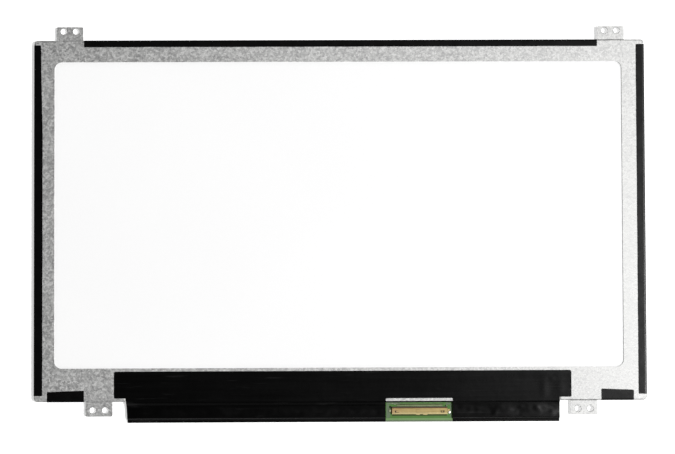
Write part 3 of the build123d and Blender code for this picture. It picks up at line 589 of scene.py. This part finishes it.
# Chips, inductors and small components: moulded epoxy, grey ferrite and fired ceramic, all reflow soldered.
# They lie in a row on the board under the cover film, and the inductors carry it.
def component_finish(name, dark, light, smooth, rough):
    """Make the finish of a small component: fine grained, between two colours and two roughnesses."""
    finish, tree, shader, grain = start_finish(name, blotches=400.0, flecks=5200.0, IOR=1.55)
    feed(tree, shader, {
        "Base Color": ramp(tree, grain.outputs["Tone"], (0.3, dark), (0.7, light)),
        "Roughness": spread(tree, grain.outputs["Gloss"], smooth, rough),
        "Normal": relief(tree, grain.outputs["Height"], 0.015),
    })
    return finish


epoxy = component_finish("chip_epoxy", tint(26, 26, 28), tint(38, 38, 40), 0.45, 0.6)
ferrite = component_finish("ferrite", tint(66, 66, 70), tint(86, 86, 90), 0.5, 0.65)
ceramic = component_finish("component_ceramic", tint(150, 118, 86), tint(176, 144, 110), 0.4, 0.55)
dress(epoxy, "timing_controller_chip", "memory_chip", "gamma_chip", "power_chip", "led_driver_chip")
dress(ferrite, "panel_boost_inductor", "led_boost_inductor")
dress(ceramic, "input_fuse", "board_capacitors", "board_resistors")


# Socket of the LED strip: a low white housing with a flat black latch, closed over the strip's tail.
# Both are injection moulded, and the housing is soldered to the board under the cover film.
dress(moulding, "led_flex_socket")
dress(epoxy, "led_socket_latch")


# Cover film: black polyester film with adhesive, die-cut, stuck to the steel and stepped down over the board.
# Its step is slack at the left and tight at the right; it sags between the inductors and socket below it.
# A notch leaves the display socket open; a strip of the same film closes the gap under the steel's lip there,
# as painted shade for that gap.
film_thickness, film_stick, film_clearance = 0.05, 0.002, 0.001
film_left, film_right, film_top = -99.0, 100.9, -67.55
film_shoulder = -79.25
board_end_left, board_end_right = (-93.85, -93.2), 95.8
notch_left, notch_right, notch_top = 19.65, 48.95, -79.6
steel_back = 3.38
film_seat = 2.5
step_start, slack_step_end, tight_step_end = -80.88, -82.85, -81.6
slack_until, tight_from = 10.0, 50.0
hem_start, hem_end, hem_gap = -87.9, -89.05, 0.005
least_sag, more_sag, crumple_rise = 0.10, 0.12, 0.05
droop_start, right_droop_end, left_droop_end = 86.0, 96.0, 94.0
right_droop, left_droop = 0.1, 0.3
corner_round, shoulder_round, notch_round = 0.8, 0.5, 0.55
film_carriers = [(71.3, 4.5, 2, 1.0), (-52.7, 4.5, 2, 1.0), (84.7, 5.5, 4, 0.75)]


def ease(value, start, end):
    """Rise smoothly from 0 at start to 1 at end."""
    share = min(max((value - start) / (end - start), 0.0), 1.0)
    return share * share * (3 - 2 * share)


def rounded_off(distance, radius):
    """How far a rounded corner pulls an edge in, this far from the corner's end."""
    if distance >= radius:
        return 0.0
    return radius - math.sqrt(max(radius ** 2 - (radius - distance) ** 2, 0.0))


def film_columns(y):
    """The film's edges at one height, from left to right: outer, board's, notch's two, board's, outer."""
    slant = min(max((film_shoulder - y) / (film_shoulder - board_low.y), 0.0), 1.0)
    board_left = board_end_left[0] + slant * (board_end_left[1] - board_end_left[0])
    top_pull = rounded_off(film_top - y, corner_round)
    shoulder_pull = rounded_off(max(y - film_shoulder, 0.0), shoulder_round)
    pull = max(top_pull, shoulder_pull)
    notch_pull = rounded_off(max(notch_top - y, 0.0), notch_round) if y <= notch_top else 0.0
    notch_edges = (notch_left + notch_pull, notch_right - notch_pull)
    return (film_left + pull, board_left, *notch_edges, board_end_right, film_right - pull)


steel_humps = [
    (88.9, -75.6, 1.5, 4.4, 0.044), (96.0, -74.6, 1.9, 4.0, 0.044), (92.6, -71.4, 1.2, 0.9, 0.03),
    (-20.0, -78.4, 7.5, 0.7, 0.03), (62.0, -70.2, 9.0, 0.8, 0.02), (-66.0, -72.5, 6.0, 0.8, 0.024),
    (48.0, -75.0, 5.0, 2.0, 0.018),
]
board_humps = [
    (92.6, -86.0, 1.7, 1.6, 0.11), (86.0, -83.6, 1.5, 1.1, 0.08), (79.0, -83.4, 1.2, 0.9, 0.05),
    (68.2, -84.0, 1.2, 1.0, 0.06), (67.4, -86.4, 1.2, 1.0, 0.05), (60.0, -84.2, 3.4, 1.1, 0.05),
    (-8.0, -85.6, 4.0, 0.9, 0.05), (-30.0, -84.6, 5.0, 0.8, 0.05), (-78.0, -85.0, 3.0, 1.2, 0.05),
]


def hump(x, y, humps):
    """How far the creases in a list lift the film here; each has a place, half width, half depth and rise."""
    return sum(
        rise * math.exp(-((x - hump_x) / wide) ** 2 - ((y - hump_y) / deep) ** 2)
        for hump_x, hump_y, wide, deep, rise in humps
    )


def film_height(x, y):
    """Height of the film's underside over the steel and the board, in millimetres."""
    highest = cad_high.z / MM - film_thickness - film_clearance
    stuck = min(steel_back + film_stick + hump(x, y, steel_humps), highest)
    carried = max(
        share * math.exp(-((x - middle) / reach) ** steepness)
        for middle, reach, steepness, share in film_carriers
    )
    step_end = slack_step_end + (tight_step_end - slack_step_end) * ease(x, slack_until, tight_from)
    across = min(max((step_end - y) / (step_end - hem_start), 0.0), 1.0)
    ripple = 0.5 + 0.5 * noise.noise(Vector((x * 0.11, y * 0.16, 7.3)))
    sag = (1 - carried) * (least_sag + more_sag * ripple) * math.sin(across * math.pi)
    droop = right_droop * ease(x, droop_start, right_droop_end)
    droop += left_droop * ease(-x, droop_start, left_droop_end)
    seat = film_seat - sag - droop
    crumple = crumple_rise * noise.noise(Vector((x * 0.42, y * 0.42, 1.9))) * math.sin(across * math.pi)
    fall = min(max((step_start - y) / (step_start - step_end), 0.0), 1.0)
    fall = 0.5 * fall + 0.5 * ease(-y, -step_start, -step_end)
    height = stuck + (seat + crumple + hump(x, y, board_humps) - stuck) * fall
    return height + (board_face + hem_gap - height) * ease(-y, -hem_start, -hem_end)


def thicken(bm, thickness):
    """Give an open sheet its thickness, outwards from its faces, and close its cut edges."""
    bm.normal_update()
    inside = bm.faces[:]
    cut_edges = [edge.link_loops[0] for edge in bm.edges if len(edge.link_loops) == 1]
    outside = {vert: bm.verts.new(vert.co + vert.normal * thickness * MM) for vert in bm.verts[:]}
    for face in inside:
        bm.faces.new([outside[vert] for vert in face.verts])
    for loop in cut_edges:
        here, there = loop.vert, loop.link_loop_next.vert
        bm.faces.new((outside[there], outside[here], here, there))
    bmesh.ops.reverse_faces(bm, faces=inside)


film_spans = [
    (-68.5, 7), (-78.3, 20), (film_shoulder, 4), (notch_top, 3), (notch_top - notch_round, 5), (-80.85, 4),
    (-81.7, 16), (-82.9, 10), (-87.7, 22), (-89.2, 14), (board_low.y, 3),
]
film_rows = [film_top]
for row_end, row_count in film_spans:
    row_start = film_rows[-1]
    film_rows += [row_start + (row_end - row_start) * (n + 1) / row_count for n in range(row_count)]
film_counts = (7, 130, 30, 90, 9)

film = bmesh.new()
film_grid = []
for row_y in film_rows:
    stations = film_columns(row_y)
    row = []
    for block, count in enumerate(film_counts):
        for n in range(count):
            row.append(stations[block] + (stations[block + 1] - stations[block]) * n / count)
    row.append(stations[-1])
    film_grid.append([film.verts.new((x * MM, row_y * MM, film_height(x, row_y) * MM)) for x in row])
block_starts = [sum(film_counts[:n]) for n in range(len(film_counts) + 1)]
for upper, lower, row_y in zip(film_grid, film_grid[1:], film_rows):
    for block in range(len(film_counts)):
        beyond_board = block in (0, 4) and row_y <= film_shoulder + 1e-6
        in_notch = block == 2 and row_y <= notch_top + 1e-6
        if not (beyond_board or in_notch):
            for n in range(block_starts[block], block_starts[block + 1]):
                film.faces.new((upper[n], lower[n], lower[n + 1], upper[n + 1]))
bmesh.ops.delete(film, geom=[v for v in film.verts if not v.link_faces], context="VERTS")
bmesh.ops.recalc_face_normals(film, faces=film.faces)
if sum(face.normal.z for face in film.faces) < 0:
    bmesh.ops.reverse_faces(film, faces=film.faces)
thicken(film, film_thickness)

black_film, tree, shader, grain = start_finish(
    "black_cover_film", blotches=70.0, flecks=3000.0, IOR=1.5, Specular_IOR_Level=0.135)
place = add(tree, "TexCoord").outputs["Object"]
along = add(tree, "Mapping", {"Vector": place, "Scale": (22.0, 520.0, 300.0)}).outputs["Vector"]
streaks = add(tree, "TexNoise", {"Vector": along, "Scale": 1.0, "Detail": 4.0}).outputs["Fac"]
waves = add(tree, "TexNoise", {"Vector": place, "Scale": 170.0, "Detail": 2.0}).outputs["Fac"]
skin = weigh(tree, (streaks, 0.45), (grain.outputs["Tone"], 0.55))
rubbed = add(tree, "Mapping", {"Vector": place, "Scale": (60.0, 900.0, 300.0)}).outputs["Vector"]
rubs = add(tree, "TexNoise", {"Vector": rubbed, "Scale": 1.0, "Detail": 2.0}).outputs["Fac"]
bare_skin = ramp(tree, skin, (0.3, tint(0.5, 0.5, 0.5)), (0.7, tint(2, 2, 2)))
rub_mark = spread(tree, rubs, 0.0, 1.0, 0.63, 0.76)
feed(tree, shader, {
    "Base Color": blend(tree, rub_mark, bare_skin, (*tint(20, 20, 20), 1.0)),
    "Roughness": spread(tree, weigh(tree, (streaks, 0.5), (grain.outputs["Gloss"], 0.5)), 0.24, 0.30),
    "Normal": relief(tree, weigh(tree, (waves, 0.9), (grain.outputs["Height"], 0.1)), 0.05),
})
cover = new_piece("cover_film", film, black_film)
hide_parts("board_cover_film")

# Painted shade: a strip of black film fills the gap under the steel's lip in the notch, where there is only
# shade.
shade_strip_section = [
    (-79.75, 2.9), (-80.3, 2.9), (-80.7, 2.88), (-80.88, 2.76), (-80.98, 2.5), (-81.05, 2.0),
    (-81.1, 1.62), (-81.16, 1.42), (-81.26, 1.345), (-81.4, 1.315), (-81.6, 1.312),
]
shade_strip_steps, shade_strip_tuck, shade_strip_thickness = 40, 1.5, 0.04
shade_strip_length = notch_right - notch_left + 2 * shade_strip_tuck
stuck_below, edge_waver = 1.4, 0.05
shade_strip = bmesh.new()
shade_strip_grid = []
for n in range(shade_strip_steps + 1):
    x = notch_left - shade_strip_tuck + shade_strip_length * n / shade_strip_steps
    waver = edge_waver * noise.noise(Vector((x * 0.5, 2.2, 0.0)))
    section = [(y + waver if z < stuck_below else y, z) for y, z in shade_strip_section]
    shade_strip_grid.append([shade_strip.verts.new((x * MM, y * MM, z * MM)) for y, z in section])
for here, there in zip(shade_strip_grid, shade_strip_grid[1:]):
    for n in range(len(here) - 1):
        shade_strip.faces.new((here[n], here[n + 1], there[n + 1], there[n]))
thicken(shade_strip, shade_strip_thickness)
new_piece("painted_shade_strip", shade_strip, black_film)


# Edge tapes: black polyester tape, slit to width and folded by hand round the panel's edges.
# They close the gap between steel, moulding and glass, and hold by their adhesive.
# Being laid by hand, their cut edges waver and their ends are not quite square.
tape_skin = 0.06
rim_front = 0.2
back_bend, front_bend = 0.54, 0.44
tape_front_width = 2.5
tape_corner, bubble_rise, end_skew = 0.45, 0.016, 0.12


def fold_tape(name, node, start, run, inward, length, width, seed):
    """Fold one tape from the back, round the edge and onto the front rim; width is a function of the run."""
    bm = bmesh.new()
    steps = max(int(length / 1.1), 12)
    end_steps = [0.04, 0.1, 0.2, 0.35, 0.6]
    stations = end_steps + [0.6 + (length - 1.2) * (n + 1) / steps for n in range(steps)]
    stations = [0.0] + stations + [length - d for d in reversed(end_steps[:-1])] + [length]
    grid = []
    for station in stations:
        long_waver = 0.07 * noise.noise(Vector((station * 0.09, seed, 0.0)))
        short_waver = 0.03 * noise.noise(Vector((station * 0.6, seed, 4.0)))
        corner_pull = rounded_off(min(station, length - station), tape_corner)
        back_width = width(station) + long_waver + short_waver - corner_pull
        bubble = bubble_rise * max(noise.noise(Vector((station * 0.17, seed, 9.0))), 0.0)
        section = []
        for n in range(7):
            depth = back_width + (back_bend - back_width) * n / 6
            section.append((depth, steel_back + bubble * math.sin(math.pi * n / 6)))
        for n in range(1, 7):
            inner, outer = 1 - math.sin(math.pi / 2 * n / 6), 1 - math.cos(math.pi / 2 * n / 6)
            section.append((back_bend * inner, steel_back - back_bend * outer))
        section.append((0.0, (steel_back + rim_front) / 2))
        for n in range(6):
            inner, outer = 1 - math.cos(math.pi / 2 * n / 6), 1 - math.sin(math.pi / 2 * n / 6)
            section.append((front_bend * inner, rim_front + front_bend * outer))
        for n in range(4):
            section.append((front_bend + (tape_front_width - front_bend) * n / 3, rim_front))
        at_an_end = station in (stations[0], stations[-1])
        skew = end_skew * (0.5 - station / length) * math.sin(seed * 5.0) if at_an_end else 0.0
        row = []
        for depth, height in section:
            shift = station + skew * depth / back_width
            x = start[0] + run[0] * shift + inward[0] * depth
            y = start[1] + run[1] * shift + inward[1] * depth
            row.append(bm.verts.new((x * MM, y * MM, height * MM)))
        grid.append(row)
    for here, there in zip(grid, grid[1:]):
        for n in range(len(here) - 1):
            bm.faces.new((here[n], here[n + 1], there[n + 1], there[n]))
    bmesh.ops.recalc_face_normals(bm, faces=bm.faces)
    on_back = [face for face in bm.faces if face.calc_center_median().z > (steel_back - tape_skin) * MM]
    if sum(face.normal.z * face.calc_area() for face in on_back) < 0:
        bmesh.ops.reverse_faces(bm, faces=bm.faces)
    thicken(bm, tape_skin)
    piece = new_piece(name, bm, black_tape)
    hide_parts(node)


left_edge, right_edge, top_edge, bottom_edge = -134.0, 134.0, 77.6, -80.8
side_top, side_bottom, top_tape_right = 75.5, -78.1, 113.3
bottom_left_start, bottom_right_start = -128.2, 114.0
side_length, top_length, bottom_left_length, bottom_right_length = side_top - side_bottom, 225.4, 16.2, 14.2
left_width, left_taper, left_taper_length = 3.82, 0.8, 40.0
right_width, top_width, bottom_width, bottom_taper = 3.7, 3.02, 5.05, 0.55
fold_tape("tape_left", "left_side_tape", (left_edge, side_top), (0, -1), (1, 0), side_length,
          lambda s: left_width - left_taper * max(1 - s / left_taper_length, 0.0), 1.3)
fold_tape("tape_right", "right_side_tape", (right_edge, side_bottom), (0, 1), (-1, 0), side_length,
          lambda s: right_width, 2.6)
fold_tape("tape_top", "top_edge_tape", (top_tape_right, top_edge), (-1, 0), (0, -1), top_length,
          lambda s: top_width, 3.7)
fold_tape("tape_bottom_left", "bottom_left_tape", (bottom_left_start, bottom_edge), (1, 0), (0, 1),
          bottom_left_length, lambda s: bottom_width - bottom_taper * (1 - s / bottom_left_length), 4.2)
fold_tape("tape_bottom_right", "bottom_right_tape", (bottom_right_start, bottom_edge), (1, 0), (0, 1),
          bottom_right_length, lambda s: bottom_width - bottom_taper * s / bottom_right_length, 5.9)


# Floor and light: a plain white sweep under a sky that is pale only near the horizon, and one studio lamp.
# The lamp stands up to the right, small enough for crisp shadows beside the tabs and in their holes.
# The floor keeps the panel's shadow; its glow shows to the camera and in reflections, but lights nothing.
half_floor, floor_drop = 2.0, 0.05
floor_corners = [(x * half_floor, y * half_floor, 0) for x, y in ((-1, -1), (1, -1), (1, 1), (-1, 1))]
floor_mesh = bpy.data.meshes.new("floor")
floor_mesh.from_pydata(floor_corners, [], [(0, 1, 2, 3)])
floor = bpy.data.objects.new("floor", floor_mesh)
floor.location.z = -floor_drop * MM
bpy.context.scene.collection.objects.link(floor)
white_sweep = bpy.data.materials.new("white_sweep")
white_sweep.use_nodes = True
tree = white_sweep.node_tree
tree.nodes.remove(tree.nodes["Principled BSDF"])
rays = add(tree, "LightPath").outputs
seen = add(tree, "Math", {0: rays["Is Camera Ray"], 1: rays["Is Glossy Ray"]}, operation="MAXIMUM").outputs[0]
seen = add(tree, "Math", {0: seen, 1: rays["Is Transmission Ray"]}, operation="MAXIMUM").outputs[0]
floor_glow, floor_white = 0.5, (0.9, 0.9, 0.9, 1.0)
glow_strength = add(tree, "Math", {0: seen, 1: floor_glow}, operation="MULTIPLY").outputs[0]
glow = add(tree, "Emission", {"Strength": glow_strength})
matte = add(tree, "BsdfDiffuse", {"Color": floor_white})
both = add(tree, "AddShader", {0: matte.outputs[0], 1: glow.outputs[0]})
feed(tree, tree.nodes["Material Output"], {"Surface": both.outputs[0]})
floor_mesh.materials.append(white_sweep)

sky = bpy.data.worlds.new("pale_sky")
bpy.context.scene.world = sky
sky.use_nodes = True
tree = sky.node_tree
upward = add(tree, "SeparateXYZ", {"Vector": add(tree, "TexCoord").outputs["Generated"]}).outputs["Z"]
sky_greys = [(0.0, 1.0), (0.3, 0.95), (0.5, 0.12), (1.0, 0.03)]
shade = ramp(tree, upward, *[(height, (grey,) * 3) for height, grey in sky_greys])
feed(tree, tree.nodes["Background"], {"Color": shade, "Strength": 1.0})

lamp_lean, lamp_heading, lamp_distance = math.radians(27.0), math.radians(-6.0), 5.0
studio = bpy.data.lights.new("studio_lamp", "AREA")
studio.shape, studio.size, studio.energy = "SQUARE", 0.62, 226.0
studio_lamp = bpy.data.objects.new("studio_lamp", studio)
lamp_aside = math.sin(lamp_lean)
aim = Vector((lamp_aside * math.cos(lamp_heading), lamp_aside * math.sin(lamp_heading), math.cos(lamp_lean)))
studio_lamp.location = aim * lamp_distance
studio_lamp.rotation_euler = aim.to_track_quat("Z", "Y").to_euler()
bpy.context.scene.collection.objects.link(studio_lamp)


# Camera: almost straight overhead, a touch towards the board's side, on a long lens.
# Its place and turn were fitted to the corners of the panel in the photograph.
camera_place = (-0.007625, -0.027104, 0.742176)
camera_turn = (1.7389, -0.4945, -0.2098)
camera = bpy.data.objects.new("camera", bpy.data.cameras.new("camera"))
camera.data.lens, camera.data.sensor_width = 90.0, 36.0
camera.location = camera_place
camera.rotation_euler = [math.radians(turn) for turn in camera_turn]
camera.data.clip_start, camera.data.clip_end = 0.01, 50.0
bpy.context.scene.collection.objects.link(camera)
bpy.context.scene.camera = camera
bpy.context.scene.view_settings.view_transform = "Standard"
